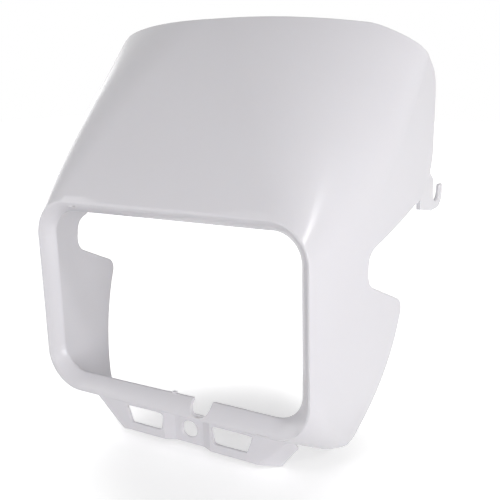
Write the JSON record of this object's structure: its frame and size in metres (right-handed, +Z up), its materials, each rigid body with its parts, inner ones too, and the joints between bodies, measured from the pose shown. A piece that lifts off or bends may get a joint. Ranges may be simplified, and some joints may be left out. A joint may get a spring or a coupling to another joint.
{
  "type": "motorcycle headlight mask",
  "caption": "Moulded headlight surround with a rectangular opening, swept-back hood, scooped side panels, rear strap hooks and a slotted lower bracket with a bolt hole.",
  "frame": {"origin": "centre of the lower bolt hole, on the front face of the bracket pad", "axes": "+Z up, +X to the right seen from the front, the headlight opening faces -Y"},
  "size_m": [0.2634, 0.1852, 0.2973],
  "materials": {
    "shell": "white, semi-gloss, as moulded"
  },
  "bodies": {
    "root": {"headlight_mask": "shell"}
  },
  "joints": []
}
